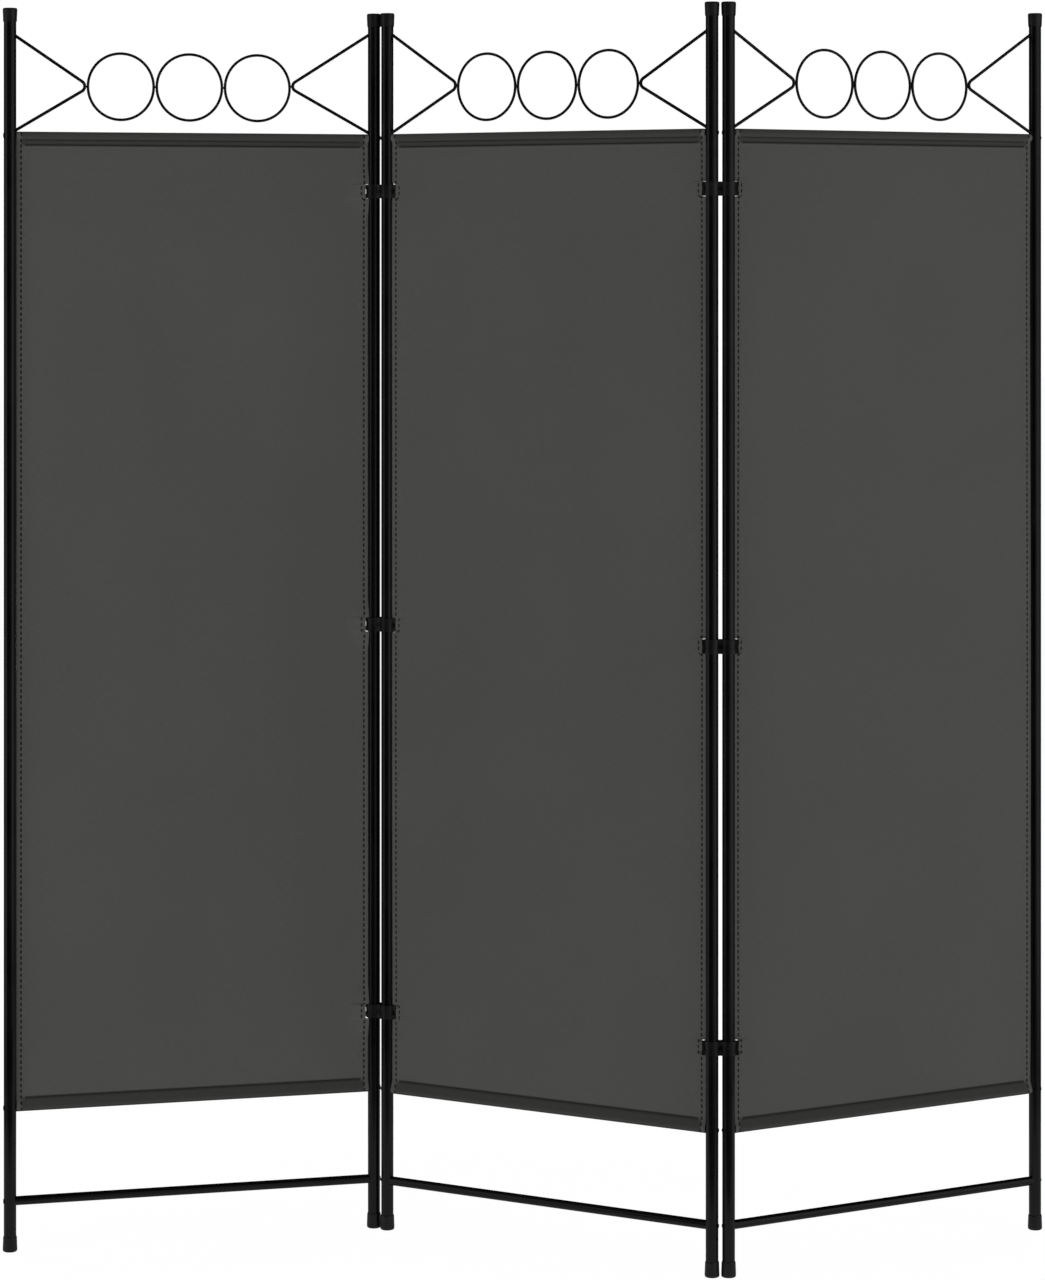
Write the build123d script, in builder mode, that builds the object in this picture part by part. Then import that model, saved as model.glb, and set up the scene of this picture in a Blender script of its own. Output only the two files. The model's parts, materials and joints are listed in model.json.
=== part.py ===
"""Folding room divider screen: three cloth panels in steel tube frames, joined by double clips.

Millimetres, +Z up. The screen stands half folded in a zigzag. The origin is on the floor, under the
middle of the standing screen. X runs along the screen and +Y points to its far side.
"""

from build123d import *
import math
import os

# Overall layout
SCREEN_HEIGHT = 1800.0
POST_PITCH = 540.0  # between the two post axes of one panel
CLIP_PITCH = 23.4  # between the two post axes at a hinge line
LEFT_PANEL_ANGLE = 15.0  # plan directions, left to right, in degrees
LEFT_CLIP_ANGLE = -30.0
MIDDLE_PANEL_ANGLE = -30.0
RIGHT_CLIP_ANGLE = 0.0
RIGHT_PANEL_ANGLE = 30.0

# Posts: a main tube, and a head tube on top of it
POST_RADIUS = 9.0
POST_WALL = 1.2
POST_JOINT_HEIGHT = 1586.0
SEAM_CHAMFER = 0.35
SPIGOT_WALL = 1.2
SPIGOT_BELOW = 30.0  # reach of the inner spigot below and above the joint
SPIGOT_ABOVE = 20.0

# Moulded caps and feet
CAP_RADIUS = 10.5
CAP_LENGTH = 20.0
CAP_ROUNDING = 2.2
FOOT_LENGTH = 22.0
FOOT_ROUNDING = 2.8
END_THICKNESS = 3.5  # between the end of the tube and the end of the cap
CAP_TAPER = 0.5
CAP_LIP_HEIGHT = 1.6
CAP_LIP_WALL = 0.5

# Cross bars between the posts
ROD_RADIUS = 4.75
CROSSBAR_RADIUS = 6.5
BAR_WALL = 1.0
TOP_ROD_HEIGHT = 1615.5
BOTTOM_ROD_HEIGHT = 207.6
CROSSBAR_HEIGHT = 72.7
BARS = [
    (TOP_ROD_HEIGHT, ROD_RADIUS),
    (BOTTOM_ROD_HEIGHT, ROD_RADIUS),
    (CROSSBAR_HEIGHT, CROSSBAR_RADIUS),
]

# Bolts through the posts, and the threaded plugs in the bars
PLUG_LENGTH = 16.0
BOLT_RADIUS = 2.0
BOLT_REACH = 12.0  # into the plug
BOLT_HEAD_RADIUS = 3.6
BOLT_HEAD_HEIGHT = 0.6
BOLT_HEAD_CHAMFER = 0.3
SOCKET_RADIUS = 1.45
SOCKET_DEPTH = 1.1

# Wire work of the head frame. Each panel has a short brace and a long one, so its rings are off centre,
# and the middle panel stands turned about
WIRE_RADIUS = 2.0
RING_RADIUS = 48.3  # to the middle of the wire
RING_GAP = 0.6
RING_HEIGHT = 1687.7
RING_ROW_SHIFTS = {"left": -7.1, "middle": 1.7, "right": -5.0}  # along the panel, from its middle
SHORT_BRACE_SIDES = {"left": -1, "middle": 1, "right": -1}
BRACE_RADIUS = 2.3
SHORT_BRACE_HEIGHTS = (1759.0, 1687.3)  # where the upper leg meets the post, and where the legs cross
LONG_BRACE_HEIGHTS = (1767.6, 1690.5)
BRACE_BOTTOM_HEIGHT = 1623.5  # where the lower leg meets the post
BRACE_POINT_DEPTH = 4.6  # the legs would cross this far past the outer ring's edge
BRACE_GAP = 0.4  # between the brace and the outer ring
BEAD_RADIUS = 1.5

# Cloth with a pocket round each rod
CLOTH_HALF_WIDTH = 259.0
CLOTH_THICKNESS = 1.0
POCKET_RADIUS = 5.7
POCKET_BORE = 4.9
NOTCH_REACH = 15.8  # from the post axis, clear of the clip's turning ears
NOTCH_HEIGHT = 22.0

# Double clips
LEFT_CLIP_HEIGHTS = [322.5, 895.2, 1536.5]
RIGHT_CLIP_HEIGHTS = [323.3, 889.8, 1536.1]
CLIP_LENGTH = 20.0  # along the post
RIB_LENGTH = 6.5  # each of the two thick bands
RIB_RADIUS = 11.4
BAND_RADIUS = 10.6  # the thinner band between the ribs
RIB_WEB = 6.5  # half thickness between the posts
BAND_WEB = 5.6
EAR_REACH = 14.4
EAR_RECESS = 0.5
EAR_THICKNESS = 3.2
SPLIT_GAP = 0.05
SCREW_RADIUS = 1.5
SCREW_HOLE_RADIUS = 1.6
SCREW_HEAD_RADIUS = 2.8
SCREW_HEAD_HEIGHT = 1.2
SLOT_WIDTH = 0.7
SLOT_DEPTH = 0.6
NUT_FLATS = 5.5
NUT_THICKNESS = 2.0
POCKET_GAP = 0.1

# Fits
RUNNING_GAP = 0.05  # radial, between a turning clip and its post, and of a plug in its tube
SEAT_GAP = 0.02  # between curved faces that are welded or pulled together
THREAD_GAP = 0.03
BOLT_HOLE_GAP = 0.1

SIDES = (-1, 1)
HALF_PITCH = POST_PITCH / 2
POST_SPOTS = [(side * HALF_PITCH, 0) for side in SIDES]
RING_PITCH = 2 * (RING_RADIUS + WIRE_RADIUS) + RING_GAP
RING_SPOTS = [-RING_PITCH, 0.0, RING_PITCH]
BEAD_SPOTS = [-RING_PITCH / 2, RING_PITCH / 2]
OUTER_RING_EDGE = RING_PITCH + RING_RADIUS + WIRE_RADIUS
BRACE_BEAD_X = OUTER_RING_EDGE + BRACE_GAP / 2


def heading(angle):
    """Unit vector in the floor plane."""
    return Vector(math.cos(math.radians(angle)), math.sin(math.radians(angle)))


def frame_between(start, end):
    """Floor plane midway between two post axes, with X from start to end and Z up."""
    return Plane(origin=(start + end) / 2, x_dir=end - start, z_dir=(0, 0, 1))


def across(frame, x, height):
    """Plane square to the frame's X axis, looking along it, with Y up."""
    return Plane(frame.from_local_coords((x, 0, height)), x_dir=frame.y_dir, z_dir=frame.x_dir)


def upright(frame, x, height):
    """Plane standing in the frame, with X along the frame's X and Y up."""
    return Plane(frame.from_local_coords((x, 0, height)), x_dir=frame.x_dir, z_dir=-frame.y_dir)


def cut_for_posts(frame, bottom, top):
    """Cut the room of both posts out of the part being built."""
    with BuildSketch(frame.offset(bottom)) as post_room:
        with Locations(*POST_SPOTS):
            Circle(POST_RADIUS + SEAT_GAP)
    extrude(post_room.sketch, amount=top - bottom, mode=Mode.SUBTRACT)


def post_tube(frame, side, bottom, top):
    """Round tube of one post between two heights, with bolt holes where bars meet it."""
    post_x = side * HALF_PITCH
    with BuildPart() as tube:
        with BuildSketch(frame.offset(bottom)):
            with Locations((post_x, 0)):
                Circle(POST_RADIUS)
                Circle(POST_RADIUS - POST_WALL, mode=Mode.SUBTRACT)
        extrude(amount=top - bottom)
        for end in (0, -1):
            rim = tube.edges().filter_by(GeomType.CIRCLE).group_by(Axis.Z)[end]
            chamfer(rim.sort_by(SortBy.RADIUS)[-1], SEAM_CHAMFER)
        for height, _ in BARS:
            if bottom < height < top:
                with BuildSketch(across(frame, post_x, height)):
                    Circle(BOLT_RADIUS + BOLT_HOLE_GAP)
                extrude(amount=POST_RADIUS + 1, both=True, mode=Mode.SUBTRACT)
    return tube.part


def post_spigots(frame):
    """Inner tubes that join the head tubes to the main tubes."""
    outer = POST_RADIUS - POST_WALL - RUNNING_GAP
    with BuildPart() as spigots:
        with BuildSketch(frame.offset(POST_JOINT_HEIGHT - SPIGOT_BELOW)):
            with Locations(*POST_SPOTS):
                Circle(outer)
                Circle(outer - SPIGOT_WALL, mode=Mode.SUBTRACT)
        extrude(amount=SPIGOT_BELOW + SPIGOT_ABOVE)
    return spigots.part


def end_sleeves(frame, tip, tube_end, length, rounding):
    """Moulded sleeves closed at the height tip, over the ends of both posts."""
    inward = 1 if tube_end > tip else -1
    rim = tip + inward * length
    lip = rim - inward * CAP_LIP_HEIGHT
    bore = POST_RADIUS + RUNNING_GAP
    with BuildPart() as sleeves:
        for post_x, _ in POST_SPOTS:
            with BuildSketch(upright(frame, post_x, 0)):
                with BuildLine():
                    Polyline(
                        (0, tip),
                        (CAP_RADIUS, tip),
                        (CAP_RADIUS, tip + inward * 2 * rounding),
                        (CAP_RADIUS - CAP_TAPER, lip),
                        (bore + CAP_LIP_WALL, rim),
                        (bore, rim),
                        (bore, tube_end),
                        (0, tube_end),
                        close=True,
                    )
                make_face()
            revolve(axis=Axis(frame.from_local_coords((post_x, 0, 0)), (0, 0, 1)))
        closed_end = 0 if inward > 0 else -1
        fillet(sleeves.edges().group_by(Axis.Z)[closed_end], rounding)
    return sleeves.part


def cross_bar(frame, height, radius):
    """Tube from post to post, with its ends cut to the posts' curve."""
    with BuildPart() as bar:
        with BuildSketch(across(frame, -HALF_PITCH, height)):
            Circle(radius)
            Circle(radius - BAR_WALL, mode=Mode.SUBTRACT)
        extrude(amount=POST_PITCH)
        cut_for_posts(frame, height - 2 * radius, height + 2 * radius)
    return bar.part


def bar_plugs(frame):
    """Threaded plugs in both ends of the three bars."""
    start_x = HALF_PITCH - POST_RADIUS - PLUG_LENGTH
    with BuildPart() as plugs:
        for height, radius in BARS:
            for side in SIDES:
                with BuildSketch(across(frame, side * start_x, height)):
                    Circle(radius - BAR_WALL - RUNNING_GAP)
                    Circle(BOLT_RADIUS + THREAD_GAP, mode=Mode.SUBTRACT)
                extrude(amount=side * (HALF_PITCH - start_x))
        cut_for_posts(frame, 0, SCREEN_HEIGHT)
    return plugs.part


def post_bolts(frame):
    """Low-headed bolts from outside each post into the bars' plugs."""
    point_x = HALF_PITCH - POST_RADIUS - BOLT_REACH
    seat_x = HALF_PITCH + POST_RADIUS + SEAT_GAP
    top_x = seat_x + BOLT_HEAD_HEIGHT
    with BuildPart() as bolts:
        for height, _ in BARS:
            for side in SIDES:
                with BuildSketch(upright(frame, 0, height)):
                    with BuildLine():
                        Polyline(
                            (side * point_x, 0),
                            (side * point_x, BOLT_RADIUS),
                            (side * seat_x, BOLT_RADIUS),
                            (side * seat_x, BOLT_HEAD_RADIUS),
                            (side * (top_x - BOLT_HEAD_CHAMFER), BOLT_HEAD_RADIUS),
                            (side * top_x, BOLT_HEAD_RADIUS - BOLT_HEAD_CHAMFER),
                            (side * top_x, 0),
                            close=True,
                        )
                    make_face()
                revolve(axis=Axis(frame.from_local_coords((0, 0, height)), frame.x_dir))
                with BuildSketch(across(frame, side * top_x, height)):
                    RegularPolygon(SOCKET_RADIUS, 6)
                extrude(amount=-side * SOCKET_DEPTH, mode=Mode.SUBTRACT)
    return bolts.part


def brace_heights(name, side):
    """Heights of the upper end and of the point of the brace on one side of a panel."""
    return SHORT_BRACE_HEIGHTS if side == SHORT_BRACE_SIDES[name] else LONG_BRACE_HEIGHTS


def ring_row(frame, row_shift):
    """Three wire rings side by side in the head frame."""
    with BuildPart() as rings:
        for ring_x in RING_SPOTS:
            with Locations(upright(frame, ring_x + row_shift, RING_HEIGHT)):
                Torus(RING_RADIUS, WIRE_RADIUS)
    return rings.part


def v_brace(frame, side, row_shift, top_height, point_height):
    """Bent rod: two legs from the post that meet in a small bend beside the outer ring."""
    ring_edge = OUTER_RING_EDGE + side * row_shift
    point_x = ring_edge - BRACE_POINT_DEPTH
    rise = top_height - point_height
    drop = point_height - BRACE_BOTTOM_HEIGHT
    run = HALF_PITCH - POST_RADIUS - point_x
    half_angle = (math.pi - math.atan2(rise, run) - math.atan2(drop, run)) / 2
    bend_x = ring_edge + BRACE_GAP + BRACE_RADIUS
    bend_radius = (bend_x - point_x) / (1 / math.cos(half_angle) - 1)
    past_post = (run + POST_RADIUS / 2) / run
    end_x = side * (point_x + run * past_post)
    with BuildPart() as brace:
        with BuildLine(upright(frame, 0, 0)) as path:
            FilletPolyline(
                (end_x, point_height + rise * past_post),
                (side * point_x, point_height),
                (end_x, point_height - drop * past_post),
                radius=bend_radius,
            )
        with BuildSketch(Plane(origin=path.line @ 0, z_dir=path.line % 0)):
            Circle(BRACE_RADIUS)
        sweep()
        cut_for_posts(frame, POST_JOINT_HEIGHT, SCREEN_HEIGHT)
    return brace.part


def weld_beads(name, frame, row_shift):
    """Weld metal in the gaps between neighbouring rings, and between outer rings and braces."""
    beads_between = [(bead_x, RING_HEIGHT, RING_GAP) for bead_x in BEAD_SPOTS]
    beads_between += [(side * BRACE_BEAD_X, brace_heights(name, side)[1], BRACE_GAP) for side in SIDES]
    with BuildPart() as beads:
        for bead_x, height, gap in beads_between:
            with BuildSketch(across(frame, bead_x + row_shift, height)):
                Circle(BEAD_RADIUS)
            extrude(amount=gap / 2 - SEAT_GAP, both=True)
    return beads.part


def cloth_panel(frame, clips):
    """Cloth from rod to rod, with a pocket round each rod and a notch beside each clip."""
    rods = [(0, TOP_ROD_HEIGHT), (0, BOTTOM_ROD_HEIGHT)]
    middle_height = (TOP_ROD_HEIGHT + BOTTOM_ROD_HEIGHT) / 2
    notches = [(side * HALF_PITCH, height) for side, heights in clips.items() for height in heights]
    with BuildPart() as cloth:
        with BuildSketch(across(frame, -CLOTH_HALF_WIDTH, 0)):
            with Locations((0, middle_height)):
                Rectangle(CLOTH_THICKNESS, TOP_ROD_HEIGHT - BOTTOM_ROD_HEIGHT)
            with Locations(*rods):
                Circle(POCKET_RADIUS)
                Circle(POCKET_BORE, mode=Mode.SUBTRACT)
        extrude(amount=2 * CLOTH_HALF_WIDTH)
        with BuildSketch(upright(frame, 0, 0)):
            with Locations(*notches):
                Rectangle(2 * NOTCH_REACH, NOTCH_HEIGHT)
        extrude(amount=POCKET_RADIUS, both=True, mode=Mode.SUBTRACT)
    return cloth.part


def clip_section(frame, facing, bottom, radius, web, ear_reach):
    """Plan outline of half a double clip, on the side of the split that facing points to."""
    spots = [(side * CLIP_PITCH / 2, 0) for side in SIDES]
    with BuildSketch(frame.offset(bottom)) as section:
        Rectangle(CLIP_PITCH, 2 * web)
        with Locations(*spots):
            Circle(radius)
        if ear_reach:
            Rectangle(CLIP_PITCH + 2 * ear_reach, 2 * EAR_THICKNESS)
        with Locations(*spots):
            Circle(POST_RADIUS + RUNNING_GAP, mode=Mode.SUBTRACT)
        with Locations((0, facing * (SPLIT_GAP - CLIP_PITCH))):
            Rectangle(4 * CLIP_PITCH, 2 * CLIP_PITCH, mode=Mode.SUBTRACT)
    return section.sketch


def clip_halves(frame, heights, facing, full_tabs):
    """Half shells of the three clips of a hinge line, with screw holes and their seats."""
    band_ears = EAR_REACH - EAR_RECESS if full_tabs else 0
    outside = frame.y_dir * facing
    with BuildPart() as halves:
        for middle in heights:
            bottom = middle - CLIP_LENGTH / 2
            top_rib = middle + CLIP_LENGTH / 2 - RIB_LENGTH
            band = CLIP_LENGTH - 2 * RIB_LENGTH
            for rib_bottom in (bottom, top_rib):
                rib = clip_section(frame, facing, rib_bottom, RIB_RADIUS, RIB_WEB, EAR_REACH)
                extrude(rib, amount=RIB_LENGTH)
            band_bottom = bottom + RIB_LENGTH
            shell = clip_section(frame, facing, band_bottom, BAND_RADIUS, BAND_WEB, band_ears)
            extrude(shell, amount=band)
            screw_seat = Plane(
                frame.from_local_coords((0, facing * BAND_WEB, middle)),
                x_dir=frame.x_dir,
                z_dir=outside,
            )
            with BuildSketch(screw_seat):
                Circle(SCREW_HOLE_RADIUS)
            extrude(amount=-BAND_WEB, mode=Mode.SUBTRACT)
            with BuildSketch(screw_seat):
                if full_tabs:
                    Circle(SCREW_HEAD_RADIUS + POCKET_GAP)
                else:
                    nut_outline(POCKET_GAP)
            depth = SCREW_HEAD_HEIGHT if full_tabs else NUT_THICKNESS
            extrude(amount=-depth, mode=Mode.SUBTRACT)
    return halves.part


def nut_outline(gap):
    """Hexagon with its corners up and down, grown by a gap on each flat."""
    across_corners = (NUT_FLATS / 2 + gap) / math.cos(math.pi / 6)
    RegularPolygon(across_corners, 6, rotation=90)


def clip_screws(frame, heights, facing):
    """Slotted screws, with their heads on the side that facing points to."""
    with BuildPart() as screws:
        for middle in heights:
            head_top = Plane(
                frame.from_local_coords((0, facing * BAND_WEB, middle)),
                x_dir=frame.x_dir,
                z_dir=frame.y_dir * facing,
            )
            with BuildSketch(head_top):
                Circle(SCREW_HEAD_RADIUS)
            extrude(amount=-SCREW_HEAD_HEIGHT)
            with BuildSketch(head_top):
                Circle(SCREW_RADIUS)
            extrude(amount=-2 * BAND_WEB)
            with BuildSketch(head_top):
                Rectangle(2 * SCREW_HEAD_RADIUS, SLOT_WIDTH)
            extrude(amount=-SLOT_DEPTH, mode=Mode.SUBTRACT)
    return screws.part


def clip_nuts(frame, heights, facing):
    """Hexagon nuts on the screws' ends."""
    with BuildPart() as nuts:
        for middle in heights:
            seat = Plane(
                frame.from_local_coords((0, -facing * BAND_WEB, middle)),
                x_dir=frame.x_dir,
                z_dir=frame.y_dir * facing,
            )
            with BuildSketch(seat):
                nut_outline(0)
                Circle(SCREW_RADIUS + THREAD_GAP, mode=Mode.SUBTRACT)
            extrude(amount=NUT_THICKNESS)
    return nuts.part


def save(part, name):
    """Label a finished piece and write it to its own file."""
    part.label = name
    export_step(part, f"parts/{name}.step")


def build_panel(name, frame, clips):
    """Make every piece of one panel. The clips are given as the heights of those on each side."""
    foot_top = END_THICKNESS
    cap_bottom = SCREEN_HEIGHT - END_THICKNESS
    row_shift = RING_ROW_SHIFTS[name]
    for side, word in zip(SIDES, ("left", "right")):
        save(post_tube(frame, side, foot_top, POST_JOINT_HEIGHT), f"{name}_main_post_{word}")
        save(post_tube(frame, side, POST_JOINT_HEIGHT, cap_bottom), f"{name}_head_post_{word}")
        brace = v_brace(frame, side, row_shift, *brace_heights(name, side))
        save(brace, f"{name}_brace_{word}")
    save(post_spigots(frame), f"{name}_post_spigots")
    save(end_sleeves(frame, SCREEN_HEIGHT, cap_bottom, CAP_LENGTH, CAP_ROUNDING), f"{name}_caps")
    save(end_sleeves(frame, 0.0, foot_top, FOOT_LENGTH, FOOT_ROUNDING), f"{name}_feet")
    save(cross_bar(frame, TOP_ROD_HEIGHT, ROD_RADIUS), f"{name}_top_rod")
    save(cross_bar(frame, BOTTOM_ROD_HEIGHT, ROD_RADIUS), f"{name}_bottom_rod")
    save(cross_bar(frame, CROSSBAR_HEIGHT, CROSSBAR_RADIUS), f"{name}_crossbar")
    save(bar_plugs(frame), f"{name}_bar_plugs")
    save(post_bolts(frame), f"{name}_post_bolts")
    save(ring_row(frame, row_shift), f"{name}_ring_row")
    save(weld_beads(name, frame, row_shift), f"{name}_weld_beads")
    save(cloth_panel(frame, clips), f"{name}_cloth")


def build_clips(name, frame, heights, outer_facing):
    """Make the three double clips of one hinge line; their outer halves have full tabs."""
    save(clip_halves(frame, heights, outer_facing, True), f"{name}_clip_outer_halves")
    save(clip_halves(frame, heights, -outer_facing, False), f"{name}_clip_inner_halves")
    save(clip_screws(frame, heights, outer_facing), f"{name}_clip_screws")
    save(clip_nuts(frame, heights, outer_facing), f"{name}_clip_nuts")


# Post axes, from the near post of the middle panel outwards
middle_right = Vector(0, 0)
middle_left = middle_right - heading(MIDDLE_PANEL_ANGLE) * POST_PITCH
left_right = middle_left - heading(LEFT_CLIP_ANGLE) * CLIP_PITCH
left_left = left_right - heading(LEFT_PANEL_ANGLE) * POST_PITCH
right_left = middle_right + heading(RIGHT_CLIP_ANGLE) * CLIP_PITCH
right_right = right_left + heading(RIGHT_PANEL_ANGLE) * POST_PITCH

# The ends reach one cap radius past their axes, and both hinge lines one clip radius
middle = Vector((left_left.X + right_right.X) / 2, (left_right.Y + middle_right.Y) / 2)
left_left -= middle
left_right -= middle
middle_left -= middle
middle_right -= middle
right_left -= middle
right_right -= middle

os.makedirs("parts", exist_ok=True)
left_frame = frame_between(left_left, left_right)
middle_frame = frame_between(middle_left, middle_right)
right_frame = frame_between(right_left, right_right)
build_panel("left", left_frame, clips={1: LEFT_CLIP_HEIGHTS})
build_panel("middle", middle_frame, clips={-1: LEFT_CLIP_HEIGHTS, 1: RIGHT_CLIP_HEIGHTS})
build_panel("right", right_frame, clips={-1: RIGHT_CLIP_HEIGHTS})
build_clips("left", frame_between(left_right, middle_left), LEFT_CLIP_HEIGHTS, outer_facing=1)
build_clips("right", frame_between(middle_right, right_left), RIGHT_CLIP_HEIGHTS, outer_facing=-1)
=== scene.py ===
"""Looks of the folding room divider screen: coated steel, moulded plastic and three sewn cloth panels.

Metres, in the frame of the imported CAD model: +Z up, the camera looks along +Y.
A panel's own axes are x along the panel, w square to it (plus is the far side) and z up.
"""

import json
import math

import bmesh
import bpy
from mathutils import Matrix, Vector


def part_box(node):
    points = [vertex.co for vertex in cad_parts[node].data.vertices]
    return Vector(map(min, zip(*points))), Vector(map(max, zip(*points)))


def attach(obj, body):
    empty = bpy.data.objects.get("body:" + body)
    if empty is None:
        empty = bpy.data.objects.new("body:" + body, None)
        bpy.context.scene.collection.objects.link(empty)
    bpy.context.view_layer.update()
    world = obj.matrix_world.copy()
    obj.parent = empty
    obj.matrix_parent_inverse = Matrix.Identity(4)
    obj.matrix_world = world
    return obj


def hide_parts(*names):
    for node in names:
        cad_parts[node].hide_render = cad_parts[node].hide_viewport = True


MM = 0.001

# Camera
CAMERA_PLACE = (-0.0075, -5.6829, 1.447)
CAMERA_LENS_MM = 110.42
CAMERA_SHIFT_UP = -0.3033
CAMERA_SHIFT_ASIDE = -0.00045

# Cloth and its sewing
CLOTH_THICKNESS = 0.45 * MM
CLOTH_HALF_WIDTH = 260.8 * MM  # it just clears the posts
LAYER_STEP = 0.52 * MM  # between the middles of two layers that lie on each other
SIDE_HEM = 11.0 * MM
SIDE_SEAM = 6.6 * MM  # from the cloth's edge
SIDE_FOLD_RADIUS = LAYER_STEP / 2
POCKET_RADIUS = 5.45 * MM  # to the middle of the cloth
TOP_SEAMS = (13.7 * MM, 6.0 * MM)  # below the top rod's axis, the outer row first
BOTTOM_SEAM = 14.0 * MM  # above the bottom rod's axis
FLAP_END = 2.5 * MM  # cloth past the outer seam, on the far side
SEAM_SIDE_GAP = 12.0 * MM  # cross seams stop this far from the cloth's edge
STITCH_PITCH = 8.4 * MM
STITCH_LENGTH = 5.2 * MM
CROSS_STITCH_PITCH = 3.9 * MM
CROSS_STITCH_LENGTH = 3.1 * MM
THREAD_RADIUS = 0.6 * MM

SEAM_END_GAP = 0.5 * MM  # between a side seam's last stitch and the inner seam under the top rod
SEAM_START = 3.0 * MM  # below the bottom rod's axis, where the count of the side stitches starts
THREAD_SIDES = 6
STITCH_SHAPE = (  # share of the stitch's length, then lift and girth in thread radii
    (0.0, -0.45, 0.55),
    (0.14, 0.35, 0.95),
    (0.5, 0.62, 1.0),
    (0.86, 0.35, 0.95),
    (1.0, -0.45, 0.55),
)
PUCKER_DEPTH = 0.11 * MM
PUCKER_WIDTH = 3.2 * MM

# Where the cloth's mesh has its columns and rows
MIDDLE_COLUMN_STEP = 15 * MM
MIDDLE_COLUMNS_END = 45 * MM  # from the fold at the cloth's edge
EDGE_COLUMNS_MM = (  # from the cloth's edge, closest together round the side seam
    *(30.0, 22.0, 16.0, 13.0, 11.2, 10.4, 9.2, 8.2, 7.6),
    *(7.1, 6.6, 6.1, 5.6, 5.0, 4.0, 2.6, 1.2, 0.4),
)
BACK_COLUMNS = (0.024, 0.15, 0.3, 0.5, 0.66, 0.8, 0.93, 1.0)  # shares of the side hem's width
LAYERS_PART = 8 * MM  # inside the side hem, where the near and far layers begin to part for it
LAYERS_PART_RUN = 7 * MM
POCKET_STEPS = 16  # round the rod
POCKET_RUN = 3  # steps from a seam to the rod
ROW_GAP = 0.9 * MM  # between the rows at a clip's edge and the next even row
NEXT_CLIP = 0.1  # a longer step in height than this leads to the next clip

# Where the cloth gives way to a clip
CLIP_CLEARANCE = 6.0 * MM  # an edge is drawn in by this along the panel
CLIP_HALF_HEIGHT = 10.35 * MM
CLIP_EASE = 0.5 * MM
GIVE_WIDTH = 34 * MM  # from the edge to where the cloth doesn't move
FOLD_CLEARANCE = 4.9 * MM  # in place of CLIP_CLEARANCE at the one edge that also bulges to the near side
FOLD_ASIDE = 5.5 * MM  # the size of that bulge, which takes the edge round the clips' turning ears
FOLD_EASE = 30 * MM  # above and below a clip

# Waves of the hanging cloth
HANG_START = 20 * MM  # from a rod's axis
HANG_RUN = 0.16
CLOTH_PHASES = {"left": 0.4, "middle": 2.1, "right": 4.0}

# Yarns of the cloth
YARN_PITCH = 0.62 * MM

# Tones of the cloth, as shares of the middle of the panel; the hem, ridge, groove and crest tones are painted
# shade and painted highlight
CLOTH_TINT = (0.0698, 0.0698, 0.0661)
# painted shade over the rod pockets, where the rod behind keeps light from showing through the cloth
HEM_SHADE = 0.55
SIDE_TONE = 1.06
RIDGE_HIGHLIGHT = 0.1  # painted highlight of a ridge of cloth, added just under the hem's outer seam
GROOVE_SHADE = 0.07  # painted shade in the cloth that a stitch pulls in
GROOVE_SHADE_SHARE = 0.75  # of that painted shade, along the cross seams
CREST_SHADE = 0.1  # painted shade along the folds at the very top and bottom, wider at the bottom, where it holds back the light from the floor
STITCH_SHADE_ALONG = (0.24, 0.34)  # painted shade of the pulled-in cloth, from a side stitch's middle, in stitches: full to the first, none past the second
STITCH_SHADE_ASIDE = (0.95 * MM, 1.45 * MM)  # from the side seam, in the same way

# Stage
FLOOR_HALF = 40
CARD_DISTANCE = 4.0
CARD_STEPS = 12
CARD_HEIGHTS = (-0.4, 3.4)
BACKDROP_RADIUS = 60.0
SOFTBOX_HEIGHT = 1.2

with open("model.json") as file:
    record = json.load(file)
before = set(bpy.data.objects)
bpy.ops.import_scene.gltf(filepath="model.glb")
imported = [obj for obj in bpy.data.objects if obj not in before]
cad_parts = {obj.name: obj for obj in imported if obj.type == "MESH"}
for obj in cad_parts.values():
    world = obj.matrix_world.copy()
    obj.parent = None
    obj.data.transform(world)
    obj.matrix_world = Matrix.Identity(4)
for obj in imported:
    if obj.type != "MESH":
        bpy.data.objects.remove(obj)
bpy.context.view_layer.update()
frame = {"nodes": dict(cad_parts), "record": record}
scene = bpy.context.scene


def smooth(value):
    """0 below 0, 1 above 1, and a smooth step between."""
    t = min(1.0, max(0.0, value))
    return t * t * (3 - 2 * t)


# ---------------------------------------------------------------- materials


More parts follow.
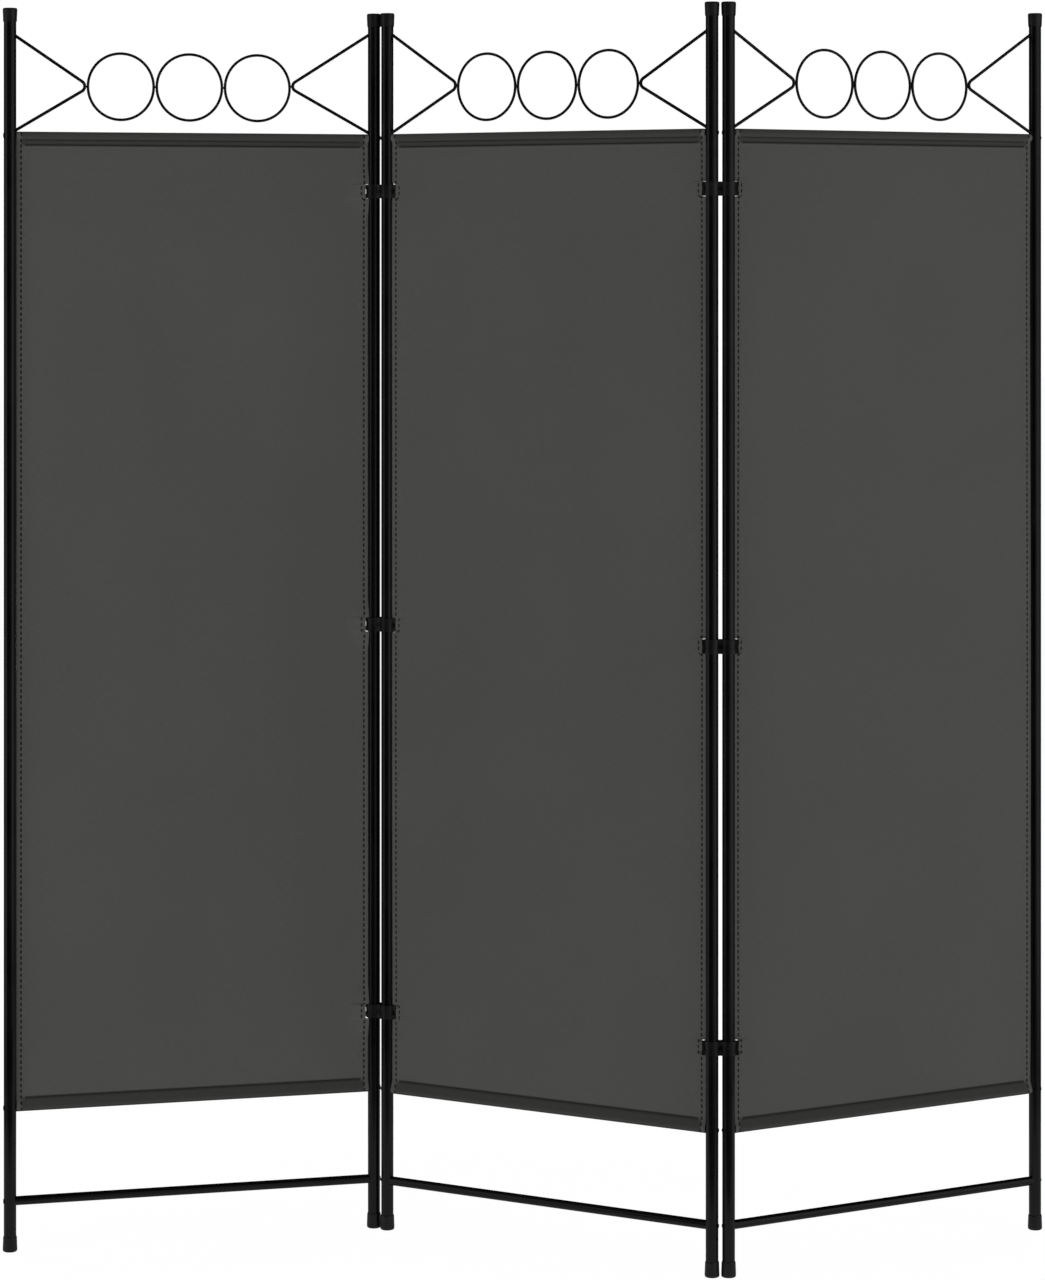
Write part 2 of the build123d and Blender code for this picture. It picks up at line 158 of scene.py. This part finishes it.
class Nodes:
    """A new material with one Principled shader, and short ways to add nodes to it."""

    def __init__(self, name):
        self.material = bpy.data.materials.new(name)
        self.material.use_nodes = True
        self.tree = self.material.node_tree
        self.shader = self.tree.nodes["Principled BSDF"]

    def add(self, kind, **values):
        node = self.tree.nodes.new(kind)
        for name, value in values.items():
            setattr(node, name, value)
        return node

    def link(self, source, target):
        self.tree.links.new(source, target)

    def place(self):
        return self.add("ShaderNodeTexCoord").outputs["Object"]

    def noise(self, where, scale, detail=3.0, roughness=0.5):
        node = self.add("ShaderNodeTexNoise")
        node.inputs["Scale"].default_value = scale
        node.inputs["Detail"].default_value = detail
        node.inputs["Roughness"].default_value = roughness
        self.link(where, node.inputs["Vector"])
        return node.outputs["Fac"]

    def spread(self, value, low, high, start=0.3, end=0.7):
        """The value between start and end, taken to between low and high."""
        node = self.add("ShaderNodeMapRange")
        for name, number in zip(("From Min", "From Max", "To Min", "To Max"), (start, end, low, high)):
            node.inputs[name].default_value = number
        self.link(value, node.inputs["Value"])
        return node.outputs["Result"]

    def colours(self, value, stops):
        ramp = self.add("ShaderNodeValToRGB")
        elements = ramp.color_ramp.elements
        while len(elements) < len(stops):
            elements.new(0.5)
        for element, (place, colour) in zip(elements, stops):
            element.position = place
            element.color = (*colour, 1)
        self.link(value, ramp.inputs["Fac"])
        return ramp.outputs["Color"]

    def combine(self, a, b, kind="ADD"):
        node = self.add("ShaderNodeMath", operation=kind)
        for socket, value in zip(node.inputs, (a, b)):
            if isinstance(value, (int, float)):
                socket.default_value = value
            else:
                self.link(value, socket)
        return node.outputs["Value"]

    def stretched(self, where, scales):
        node = self.add("ShaderNodeMapping")
        node.inputs["Scale"].default_value = scales
        self.link(where, node.inputs["Vector"])
        return node.outputs["Vector"]

    def bump(self, height, distance, strength=1.0):
        node = self.add("ShaderNodeBump")
        node.inputs["Distance"].default_value = distance
        node.inputs["Strength"].default_value = strength
        self.link(height, node.inputs["Height"])
        self.link(node.outputs["Normal"], self.shader.inputs["Normal"])

    def feed(self, source, name):
        self.link(source, self.shader.inputs[name])


def coated_steel(name, dark, light, smoothest, roughest, peel):
    """Black baked coating: faint orange peel, cloudy gloss, and a few dull rubbed patches."""
    m = Nodes(name)
    where = m.place()
    clouds = m.noise(where, 14.0, 4.0)
    rubbed = m.noise(where, 55.0, 6.0, 0.65)
    m.feed(m.colours(clouds, [(0.3, dark), (0.7, light)]), "Base Color")
    gloss = m.spread(clouds, smoothest, roughest)
    patches = m.spread(rubbed, 0.0, 0.12, 0.58, 0.72)
    m.feed(m.combine(gloss, patches), "Roughness")
    fine = m.noise(where, 420.0, 2.0)
    broad = m.noise(where, 130.0, 2.0)
    m.bump(m.combine(fine, broad), peel, 0.6)
    m.shader.inputs["IOR"].default_value = 1.5
    return m.material


def moulded_plastic(name, dark, light, smoothest, roughest, grain):
    """Black moulded plastic with a fine spark-eroded grain."""
    m = Nodes(name)
    where = m.place()
    clouds = m.noise(where, 40.0, 3.0)
    m.feed(m.colours(clouds, [(0.3, dark), (0.7, light)]), "Base Color")
    m.feed(m.spread(m.noise(where, 90.0, 5.0), smoothest, roughest), "Roughness")
    pits = m.add("ShaderNodeTexVoronoi")
    pits.inputs["Scale"].default_value = 1900.0
    m.link(where, pits.inputs["Vector"])
    m.bump(m.combine(pits.outputs["Distance"], m.noise(where, 900.0, 3.0)), grain, 0.7)
    m.shader.inputs["IOR"].default_value = 1.49
    return m.material


def turned_metal(name, dark, light, smoothest, roughest):
    """Metal with fine drawn lines and cloudy gloss."""
    m = Nodes(name)
    where = m.place()
    drawn = m.noise(m.stretched(where, (900.0, 900.0, 60.0)), 1.0, 3.0)
    m.feed(m.colours(m.noise(where, 160.0, 4.0), [(0.3, dark), (0.7, light)]), "Base Color")
    m.feed(m.spread(drawn, smoothest, roughest), "Roughness")
    m.bump(drawn, 0.02 * MM, 0.5)
    m.shader.inputs["Metallic"].default_value = 1.0
    return m.material


def painted_stitch_shade(m):
    """Painted shade of the pulled-in cloth under each stitch of the side seams: 1 elsewhere.
    The mesh holds the distance from the seam in metres, and the place along it in stitches."""
    from_seam = m.add("ShaderNodeAttribute", attribute_name="from_seam").outputs["Fac"]
    along = m.add("ShaderNodeAttribute", attribute_name="stitch").outputs["Fac"]
    past_middle = m.combine(m.combine(along, 0.0, "FRACT"), 0.5, "SUBTRACT")
    within = m.spread(m.combine(past_middle, 0.0, "ABSOLUTE"), 1.0, 0.0, *STITCH_SHADE_ALONG)
    beside = m.spread(m.combine(from_seam, 0.0, "ABSOLUTE"), 1.0, 0.0, *STITCH_SHADE_ASIDE)
    return m.spread(m.combine(within, beside, "MULTIPLY"), 1.0, GROOVE_SHADE, 0.0, 1.0)


def woven_cloth(name):
    """Plain-weave dark grey cloth, with painted shade and highlight from the mesh's tone and painted shade at
    the side stitches. The UV map holds metres along and across the cut cloth.
    """
    m = Nodes(name)
    cut = m.add("ShaderNodeUVMap", uv_map="cut").outputs["UV"]
    split = m.add("ShaderNodeSeparateXYZ")
    m.link(cut, split.inputs["Vector"])
    turn = math.pi / YARN_PITCH
    across = m.combine(m.combine(split.outputs["X"], turn, "MULTIPLY"), 0.0, "SINE")
    along = m.combine(m.combine(split.outputs["Y"], turn, "MULTIPLY"), 0.0, "SINE")
    crossing = m.combine(across, along, "MULTIPLY")
    upright_slubs = m.noise(m.stretched(cut, (1600.0, 90.0, 1.0)), 1.0, 3.0)
    cross_slubs = m.noise(m.stretched(cut, (90.0, 1600.0, 1.0)), 1.0, 3.0)
    yarns = m.combine(upright_slubs, cross_slubs)
    weave_shade = m.spread(crossing, 0.90, 1.10, -1.0, 1.0)
    yarn_shade = m.spread(yarns, 0.88, 1.12, 0.7, 1.3)
    faded = m.spread(m.noise(m.place(), 5.0, 3.0), 0.975, 1.025)
    shade = m.combine(m.combine(weave_shade, yarn_shade, "MULTIPLY"), faded, "MULTIPLY")
    # the mesh's tone holds painted shade and painted highlight as well as the cloth's own tone
    tone_and_painted_shade = m.add("ShaderNodeAttribute", attribute_name="tone").outputs["Fac"]
    tone = m.combine(tone_and_painted_shade, painted_stitch_shade(m), "MULTIPLY")
    tinted = m.add("ShaderNodeVectorMath", operation="SCALE")
    tinted.inputs[0].default_value = CLOTH_TINT
    m.link(m.combine(shade, tone, "MULTIPLY"), tinted.inputs["Scale"])
    m.feed(tinted.outputs["Vector"], "Base Color")
    m.feed(m.spread(yarns, 0.82, 0.95, 0.7, 1.3), "Roughness")
    m.bump(m.combine(m.combine(crossing, 0.5, "MULTIPLY"), yarns), 0.09 * MM, 0.8)
    m.shader.inputs["Sheen Weight"].default_value = 0.12
    m.shader.inputs["Sheen Roughness"].default_value = 0.5
    m.shader.inputs["Specular IOR Level"].default_value = 0.2
    return m.material


def sewing_thread(name):
    """Dark twisted polyester thread."""
    m = Nodes(name)
    where = m.place()
    ply = m.noise(where, 2600.0, 2.0)
    m.feed(m.colours(ply, [(0.3, (0.006, 0.006, 0.007)), (0.7, (0.022, 0.022, 0.023))]), "Base Color")
    m.feed(m.spread(ply, 0.5, 0.7), "Roughness")
    m.bump(ply, 0.08 * MM, 0.7)
    return m.material


FINISHES = {
    "tube_paint": coated_steel("black_tube_coating", (0.0012,) * 3, (0.003,) * 3, 0.15, 0.22, 0.02 * MM),
    "wire_paint": coated_steel("black_wire_coating", (0.001,) * 3, (0.0026,) * 3, 0.3, 0.4, 0.03 * MM),
    "cap_plastic": moulded_plastic("black_cap_plastic", (0.004,) * 3, (0.008,) * 3, 0.3, 0.42, 0.05 * MM),
    "clip_plastic": moulded_plastic("black_clip_plastic", (0.003,) * 3, (0.007,) * 3, 0.26, 0.38, 0.04 * MM),
    "bolt_black": turned_metal("blackened_bolt_steel", (0.02, 0.02, 0.022), (0.05, 0.05, 0.052), 0.25, 0.45),
    "bare_steel": turned_metal("plated_steel", (0.42, 0.42, 0.43), (0.6, 0.6, 0.61), 0.2, 0.38),
    "cloth": woven_cloth("woven_dark_grey_cloth"),
}
THREAD = sewing_thread("dark_sewing_thread")

for part in frame["record"]["subparts"]:
    mesh = frame["nodes"][part["node"]].data
    mesh.materials.clear()
    mesh.materials.append(FINISHES[part["material_slot"]])


# ---------------------------------------------------------------- the cloth panels


def axis_of(node):
    """Place in the floor plane of an upright tube's axis."""
    low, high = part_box(node)
    return Vector(((low.x + high.x) / 2, (low.y + high.y) / 2, 0))


def middle_height(node):
    low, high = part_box(node)
    return (low.z + high.z) / 2


class Panel:
    """Where one panel's cloth goes, and which of its edges pass a clip.
    folds_aside is the side whose edge bulges round the clips, 1 for the right one, or 0 for neither."""

    def __init__(self, name, clips_left, clips_right, folds_aside):
        self.name = name
        self.body = name + "_panel"
        start = axis_of(name + "_main_post_left")
        end = axis_of(name + "_main_post_right")
        self.middle = (start + end) / 2
        self.along = (end - start).normalized()
        self.square = Vector((-self.along.y, self.along.x, 0))
        self.top = middle_height(name + "_top_rod")
        self.bottom = middle_height(name + "_bottom_rod")
        self.clips = {-1: clips_left, 1: clips_right}
        self.folds_aside = folds_aside

    def point(self, x, w, z):
        return self.middle + self.along * x + self.square * w + Vector((0, 0, z))


def clip_heights(side):
    """Middle heights of the three clips at one hinge line."""
    vertices = frame["nodes"][side + "_clip_outer_halves"].data.vertices
    heights = sorted(vertex.co.z for vertex in vertices)
    groups = [[heights[0]]]
    for height in heights[1:]:
        if height - groups[-1][-1] > NEXT_CLIP:
            groups.append([])
        groups[-1].append(height)
    return [(group[0] + group[-1]) / 2 for group in groups]


def layer_gap(x):
    """Half the distance between the near and far layers where they are sewn together."""
    near_edge = smooth((abs(x) - (CLOTH_HALF_WIDTH - SIDE_HEM - LAYERS_PART)) / LAYERS_PART_RUN)
    return LAYER_STEP / 2 + LAYER_STEP * near_edge


def pocket(rod, seam, gap, upward):
    """Cloth's path round a rod in the (w, z) plane, from the near side's seam to the far side's seam.
    seam is its distance from the rod's axis, and upward is 1 for the top rod and -1 for the bottom one."""
    reach = math.hypot(gap, seam)
    lean = math.atan2(gap, seam)
    contact = math.acos(POCKET_RADIUS / reach)
    start = -math.pi / 2 - lean - contact  # angle of the near contact point, seen from the rod's axis
    end = -math.pi / 2 + lean + contact - 2 * math.pi  # the far one, the long way round
    path = []
    for i in range(POCKET_STEPS + 1):
        angle = start + (end - start) * i / POCKET_STEPS
        path.append((POCKET_RADIUS * math.cos(angle), POCKET_RADIUS * math.sin(angle)))
    near, far = [], []
    for i in range(POCKET_RUN):
        share = i / POCKET_RUN
        near.append((-gap + (path[0][0] + gap) * share, -seam + (path[0][1] + seam) * share))
        far.insert(0, (gap + (path[-1][0] - gap) * share, -seam + (path[-1][1] + seam) * share))
    return [(w, rod + upward * z) for w, z in near + path + far]


def upright_rows(bottom, top, clips):
    """Heights of the rows of the cloth between its seams, with close pairs at the edges of the clips."""
    count = round((top - bottom) / (STITCH_PITCH / 3))
    rows = [bottom + (top - bottom) * i / count for i in range(count + 1)]
    for height in clips:
        for side in (-1, 1):
            edge = height + side * CLIP_HALF_HEIGHT
            far_edge = edge + side * CLIP_EASE
            rows = [row for row in rows if abs(row - (edge + far_edge) / 2) > ROW_GAP]
            rows += [edge, far_edge]
    return sorted(rows)


def cloth_path(panel, heights, x):
    """The cloth's path in the (w, z) plane from the end of its bottom flap to the end of its top flap."""
    gap = layer_gap(x)
    low_seam = panel.bottom + BOTTOM_SEAM
    outer_seam = panel.top - TOP_SEAMS[0]
    inner_seam = panel.top - TOP_SEAMS[1]
    bottom = pocket(panel.bottom, BOTTOM_SEAM, gap, -1)
    top = pocket(panel.top, TOP_SEAMS[1], gap, 1)
    path = [(gap, low_seam + FLAP_END), (gap, low_seam + FLAP_END / 2)]
    path += bottom[::-1]
    clips = [height for side in panel.clips.values() if side for height in heights[side]]
    path += [(-gap, z) for z in upright_rows(low_seam, outer_seam, clips)[1:]]
    path += [(-gap, outer_seam + (inner_seam - outer_seam) * share) for share in (1 / 3, 2 / 3)]
    path += top
    path += [(gap, inner_seam + (outer_seam - inner_seam) * share) for share in (1 / 3, 2 / 3)]
    path += [(gap, outer_seam), (gap, outer_seam - FLAP_END / 2), (gap, outer_seam - FLAP_END)]
    return path


def cloth_columns():
    """(place across the panel, offset towards the far side, distance across the cut cloth) for each column."""
    inner = CLOTH_HALF_WIDTH - SIDE_FOLD_RADIUS
    half = [0.0]
    while half[-1] < inner - MIDDLE_COLUMNS_END:
        half.append(half[-1] + MIDDLE_COLUMN_STEP)
    half += [CLOTH_HALF_WIDTH - from_edge * MM for from_edge in EDGE_COLUMNS_MM]
    half.append(inner)
    near = [(x, 0.0) for x in half]
    fold = [
        (inner + SIDE_FOLD_RADIUS * math.sin(turn), SIDE_FOLD_RADIUS * (1 - math.cos(turn)))
        for turn in (math.pi / 4, math.pi / 2, 3 * math.pi / 4)
    ]
    back = [(CLOTH_HALF_WIDTH - share * SIDE_HEM, LAYER_STEP) for share in BACK_COLUMNS]
    right = near + fold + back
    spots = [(-x, offset) for x, offset in right[:0:-1]] + right
    columns, across = [], 0.0
    for i, (x, offset) in enumerate(spots):
        if i:
            across += math.hypot(x - spots[i - 1][0], offset - spots[i - 1][1])
        columns.append((x, offset, across))
    middle = columns[-1][2] / 2
    return [(x, offset, across - middle) for x, offset, across in columns]


def give_way(panel, heights, x, z):
    """How far the cloth's edge moves beside a clip, along the panel and across it."""
    side = 1 if x > 0 else -1
    if not panel.clips[side]:
        return 0.0, 0.0
    near_edge = 1 - smooth((CLOTH_HALF_WIDTH - abs(x)) / GIVE_WIDTH)
    aside = side == panel.folds_aside
    clearance = FOLD_CLEARANCE if aside else CLIP_CLEARANCE
    drawn, folded = 0.0, 0.0
    for height in heights[panel.clips[side]]:
        away = abs(z - height) - CLIP_HALF_HEIGHT
        drawn = max(drawn, 1 - smooth(away / CLIP_EASE))
        folded = max(folded, 1 - smooth(away / FOLD_EASE))
    return -side * clearance * drawn * near_edge, -FOLD_ASIDE * folded * near_edge * aside


def slackness(panel, x, z):
    """Slow waves of a cloth that hangs between two rods, none of them at the rods."""
    hang = smooth((z - panel.bottom - HANG_START) / HANG_RUN) * smooth((panel.top - HANG_START - z) / HANG_RUN)
    turn = CLOTH_PHASES[panel.name]
    # Each wave has its height in mm, and its turns across and up the cloth in radians a metre
    folds = 0.55 * math.sin(31 * x + 1.3 * math.sin(2.1 * z + turn) + turn)
    folds += 0.35 * math.sin(57 * x + 2.2 * z + 2 * turn)
    folds += 0.30 * math.sin(6.3 * z + 5 * x + turn)
    return folds * MM * hang


def pucker(x, z):
    """Small dimples along the side seam, one to a stitch."""
    from_seam = abs(CLOTH_HALF_WIDTH - abs(x) - SIDE_SEAM)
    dimples = math.cos(2 * math.pi * z / STITCH_PITCH)
    return PUCKER_DEPTH * dimples * math.exp(-((from_seam / PUCKER_WIDTH) ** 2))


def band(distance, half_width, ease):
    """1 within half_width of a line, easing to 0."""
    return 1 - smooth((abs(distance) - half_width) / ease)


def cloth_tone_and_painted_shade(panel, x, z, folded_back):
    """Tone of the cloth with painted light: painted shade over the hems, in the grooves at the cross seams and
    along the folds over and under the rods, and a painted highlight under the hem's outer seam.
    """
    from_edge = CLOTH_HALF_WIDTH - abs(x)
    past_top_seam = z - panel.top + TOP_SEAMS[0]
    past_bottom_seam = panel.bottom + BOTTOM_SEAM - z
    in_hem = smooth((max(past_top_seam, past_bottom_seam) + 0.4 * MM) / (0.8 * MM))
    side = 1 - smooth((from_edge - SIDE_SEAM) / (1.2 * MM))
    tone = 1 + (HEM_SHADE - 1) * in_hem
    ridge_highlight = band(past_top_seam + 2.2 * MM, 0.8 * MM, 0.8 * MM)
    tone += RIDGE_HIGHLIGHT * ridge_highlight + (SIDE_TONE - tone) * side
    crest_shade = smooth((z - panel.top - POCKET_RADIUS + 1.5 * MM) / (0.7 * MM))
    crest_shade = max(crest_shade, smooth((panel.bottom - POCKET_RADIUS + 3.0 * MM - z) / (1.2 * MM)))
    tone += (CREST_SHADE - tone) * crest_shade
    groove_shade = 0.0
    if from_edge > SEAM_SIDE_GAP:
        for seam in (panel.top - TOP_SEAMS[0], panel.top - TOP_SEAMS[1], panel.bottom + BOTTOM_SEAM):
            groove_shade = max(groove_shade, GROOVE_SHADE_SHARE * band(z - seam, 0.6 * MM, 0.9 * MM))
    if folded_back:
        return tone
    return tone + (GROOVE_SHADE - tone) * groove_shade


def path_normals(path):
    """Unit normals towards the cloth's folded side, and the distance along the path."""
    normals, along = [], [0.0]
    for i, (w, z) in enumerate(path):
        before, after = path[max(0, i - 1)], path[min(len(path) - 1, i + 1)]
        dw, dz = after[0] - before[0], after[1] - before[1]
        length = math.hypot(dw, dz)
        normals.append((dz / length, -dw / length))
        if i:
            along.append(along[-1] + math.hypot(w - path[i - 1][0], z - path[i - 1][1]))
    return normals, along


def shaped(panel, heights, x, w, z):
    """A point of the flat cloth, moved by the clips, the slackness and the seams."""
    along, across = give_way(panel, heights, x, z)
    return panel.point(x + along, w + across + slackness(panel, x, z) + pucker(x, z), z)


def make_cloth(panel, heights):
    """One sheet: both pockets, both side hems and the panel between them. Returns it with its cut size."""
    columns = cloth_columns()
    mesh = bpy.data.meshes.new(panel.name + "_woven_cloth")
    points, cut, tones_and_painted_shade, from_seam, stitch = [], [], [], [], []
    for x, offset, across in columns:
        path = cloth_path(panel, heights, x)
        normals, along = path_normals(path)
        for (w, z), (nw, nz), distance in zip(path, normals, along):
            points.append(shaped(panel, heights, x, w + nw * offset, z + nz * offset))
            cut.append((across, distance))
            # tone of the cloth, with its painted shade and painted highlight
            tones_and_painted_shade.append(cloth_tone_and_painted_shade(panel, x, z, offset > SIDE_FOLD_RADIUS or w > 0))
            from_seam.append(CLOTH_HALF_WIDTH - abs(x) - SIDE_SEAM)
            stitch.append(z / STITCH_PITCH)
    rows = len(points) // len(columns)
    faces = [
        (c * rows + r, (c + 1) * rows + r, (c + 1) * rows + r + 1, c * rows + r + 1)
        for c in range(len(columns) - 1)
        for r in range(rows - 1)
    ]
    mesh.from_pydata(points, [], faces)
    for name, values in (("tone", tones_and_painted_shade), ("from_seam", from_seam), ("stitch", stitch)):
        mesh.attributes.new(name, "FLOAT", "POINT").data.foreach_set("value", values)
    layer = mesh.uv_layers.new(name="cut")
    for loop in mesh.loops:
        layer.data[loop.index].uv = cut[loop.vertex_index]
    mesh.shade_smooth()
    mesh.materials.append(FINISHES["cloth"])
    cloth = bpy.data.objects.new(panel.name + "_woven_cloth", mesh)
    scene.collection.objects.link(cloth)
    body = cloth.modifiers.new("thickness", "SOLIDIFY")
    body.thickness = CLOTH_THICKNESS
    body.offset = 0
    return cloth, (columns[-1][2] - columns[0][2], along[-1])


def add_stitch(shape, start, end, outward):
    """One stitch lying on the cloth, with both ends drawn into it."""
    run = (end - start).normalized()
    side = run.cross(outward).normalized()
    rings = []
    for share, lift, girth in STITCH_SHAPE:
        middle = start.lerp(end, share) + outward * (lift * THREAD_RADIUS)
        ring = []
        for i in range(THREAD_SIDES):
            turn = 2 * math.pi * i / THREAD_SIDES
            spoke = outward * math.cos(turn) + side * math.sin(turn)
            ring.append(shape.verts.new(middle + spoke * (girth * THREAD_RADIUS)))
        rings.append(ring)
    for a, b in zip(rings, rings[1:]):
        for i in range(THREAD_SIDES):
            after = (i + 1) % THREAD_SIDES
            shape.faces.new((a[i], b[i], b[after], a[after]))
    shape.faces.new(rings[0])
    shape.faces.new(rings[-1][::-1])


def make_stitches(panel, heights):
    """The rows of thread: one down each side, two under the top rod and one over the bottom rod."""
    shape = bmesh.new()
    surface = CLOTH_THICKNESS / 2
    low_seam = panel.bottom + BOTTOM_SEAM
    high_seam = panel.top - TOP_SEAMS[1]
    first = math.ceil((panel.bottom - SEAM_START) / STITCH_PITCH) * STITCH_PITCH
    for side in (-1, 1):
        x = side * (CLOTH_HALF_WIDTH - SIDE_SEAM)
        count = int((panel.top - panel.bottom + 2 * MM) / STITCH_PITCH)
        for i in range(count):
            z = first + (i + 0.5) * STITCH_PITCH
            ends = [z - STITCH_LENGTH / 2, z + STITCH_LENGTH / 2]
            if ends[1] > high_seam - SEAM_END_GAP or ends[0] < low_seam:
                continue
            gap = layer_gap(x)
            near = [shaped(panel, heights, x, -gap - surface, height) for height in ends]
            add_stitch(shape, near[0], near[1], -panel.square)
            if ends[1] < panel.top - TOP_SEAMS[0] - FLAP_END and ends[0] > low_seam + FLAP_END:
                far = [shaped(panel, heights, x, -gap + LAYER_STEP + surface, height) for height in ends]
                add_stitch(shape, far[1], far[0], panel.square)
    reach = CLOTH_HALF_WIDTH - SEAM_SIDE_GAP
    count = int(2 * reach / CROSS_STITCH_PITCH)
    for height in (panel.top - TOP_SEAMS[0], high_seam, low_seam):
        for i in range(count):
            x = (i + 0.5 - count / 2) * CROSS_STITCH_PITCH
            ends = [x - CROSS_STITCH_LENGTH / 2, x + CROSS_STITCH_LENGTH / 2]
            near = [shaped(panel, heights, place, -layer_gap(place) - surface, height) for place in ends]
            far = [shaped(panel, heights, place, layer_gap(place) + surface, height) for place in ends]
            add_stitch(shape, near[0], near[1], -panel.square)
            add_stitch(shape, far[1], far[0], panel.square)
    mesh = bpy.data.meshes.new(panel.name + "_stitches")
    shape.to_mesh(mesh)
    shape.free()
    mesh.shade_smooth()
    mesh.materials.append(THREAD)
    stitches = bpy.data.objects.new(panel.name + "_stitches", mesh)
    scene.collection.objects.link(stitches)
    return stitches


CLIPS = {side: clip_heights(side) for side in ("left", "right")}
PANELS = (
    Panel("left", None, "left", 1),
    Panel("middle", "left", "right", 0),
    Panel("right", "right", None, 0),
)
for panel in PANELS:
    cloth, cut_size = make_cloth(panel, CLIPS)
    stitches = make_stitches(panel, CLIPS)
    for piece in (cloth, stitches):
        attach(piece, panel.body)
    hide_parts(panel.name + "_cloth")


# ---------------------------------------------------------------- stage, light and camera


def plain_material(name, colour, glow):
    material = bpy.data.materials.new(name)
    material.use_nodes = True
    shader = material.node_tree.nodes["Principled BSDF"]
    shader.inputs["Base Color"].default_value = (*colour, 1)
    shader.inputs["Roughness"].default_value = 0.9
    shader.inputs["Emission Color"].default_value = (1, 1, 1, 1)
    shader.inputs["Emission Strength"].default_value = glow
    return material


def flat_stage(name, low, high, height, material):
    mesh = bpy.data.meshes.new(name)
    outline = ((low[0], low[1]), (high[0], low[1]), (high[0], high[1]), (low[0], high[1]))
    mesh.from_pydata([(x, y, height) for x, y in outline], [], [(0, 1, 2, 3)])
    mesh.materials.append(material)
    stage = bpy.data.objects.new(name, mesh)
    scene.collection.objects.link(stage)
    return stage


def shown_only_to(piece, shown):
    """The piece is seen by one kind of ray: camera, or glossy for a piece that shows only as a reflection."""
    for ray in ("camera", "diffuse", "glossy", "transmission", "volume_scatter", "shadow"):
        if ray != shown:
            setattr(piece, "visible_" + ray, False)


def bright_card(name, start, end, glow):
    """A curved upright card round the screen, from one bearing to another, that the coating mirrors."""
    mesh = bpy.data.meshes.new(name)
    turns = [math.radians(start + (end - start) * i / CARD_STEPS) for i in range(CARD_STEPS + 1)]
    rim = [(CARD_DISTANCE * math.sin(turn), -CARD_DISTANCE * math.cos(turn)) for turn in turns]
    points = [(x, y, z) for x, y in rim for z in CARD_HEIGHTS]
    mesh.from_pydata(points, [], [(2 * i, 2 * i + 2, 2 * i + 3, 2 * i + 1) for i in range(CARD_STEPS)])
    mesh.materials.append(plain_material(name, (0, 0, 0), glow))
    card = bpy.data.objects.new(name, mesh)
    scene.collection.objects.link(card)
    shown_only_to(card, "glossy")


floor_paint = plain_material("pale_floor", (0.06, 0.06, 0.06), 0.97)
floor = flat_stage("floor", (-FLOOR_HALF, -FLOOR_HALF), (FLOOR_HALF, FLOOR_HALF), -0.0005, floor_paint)
floor.visible_glossy = False
gloss_paint = plain_material("floor_in_gloss", (0, 0, 0), 0.27)
floor_mirrored = flat_stage("floor_near_screen", (-1.5, -0.55), (1.5, 0.7), -0.0007, gloss_paint)
shown_only_to(floor_mirrored, "glossy")
bright_card("right_card_dim", 14, 40, 0.2)
bright_card("right_card", 40, 92, 0.42)
bright_card("left_card", -96, -58, 0.36)

backdrop_mesh = bpy.data.meshes.new("backdrop")
backdrop_shape = bmesh.new()
bmesh.ops.create_uvsphere(backdrop_shape, u_segments=48, v_segments=24, radius=BACKDROP_RADIUS)
backdrop_shape.to_mesh(backdrop_mesh)
backdrop_shape.free()
backdrop_mesh.materials.append(plain_material("white_backdrop", (0.0, 0.0, 0.0), 1.0))
backdrop = bpy.data.objects.new("backdrop", backdrop_mesh)
scene.collection.objects.link(backdrop)
shown_only_to(backdrop, "camera")

world = bpy.data.worlds.new("dim_studio")
world.use_nodes = True
world.node_tree.nodes["Background"].inputs["Color"].default_value = (1, 1, 1, 1)
world.node_tree.nodes["Background"].inputs["Strength"].default_value = 0.004
scene.world = world


def softbox(name, place, target, width, height, watts):
    light = bpy.data.lights.new(name, "AREA")
    light.shape = "RECTANGLE"
    light.size = width
    light.size_y = height
    light.energy = watts
    lamp = bpy.data.objects.new(name, light)
    scene.collection.objects.link(lamp)
    lamp.location = place
    lamp.rotation_euler = (Vector(target) - Vector(place)).to_track_quat("-Z", "Y").to_euler()
    lamp.visible_glossy = False


for name, x, y, watts in (
    ("left_softbox", -4.2, -3.2, 118),
    ("right_softbox", 4.2, -3.2, 108),
    ("far_left_softbox", -4.0, 3.4, 90),
    ("far_right_softbox", 4.0, 3.4, 90),
):
    softbox(name, (x, y, SOFTBOX_HEIGHT), (0, 0, 0.95), 2.8, 3.0, watts)
softbox("overhead_softbox", (0, 0, 4.2), (0, 0, 0), 3.0, 2.0, 40)

camera = bpy.data.objects.new("camera", bpy.data.cameras.new("camera"))
scene.collection.objects.link(camera)
camera.location = CAMERA_PLACE
camera.rotation_euler = (math.pi / 2, 0, 0)
camera.data.lens = CAMERA_LENS_MM
camera.data.shift_x = CAMERA_SHIFT_ASIDE
camera.data.shift_y = CAMERA_SHIFT_UP
camera.data.clip_end = 200
scene.camera = camera
scene.view_settings.view_transform = "Standard"
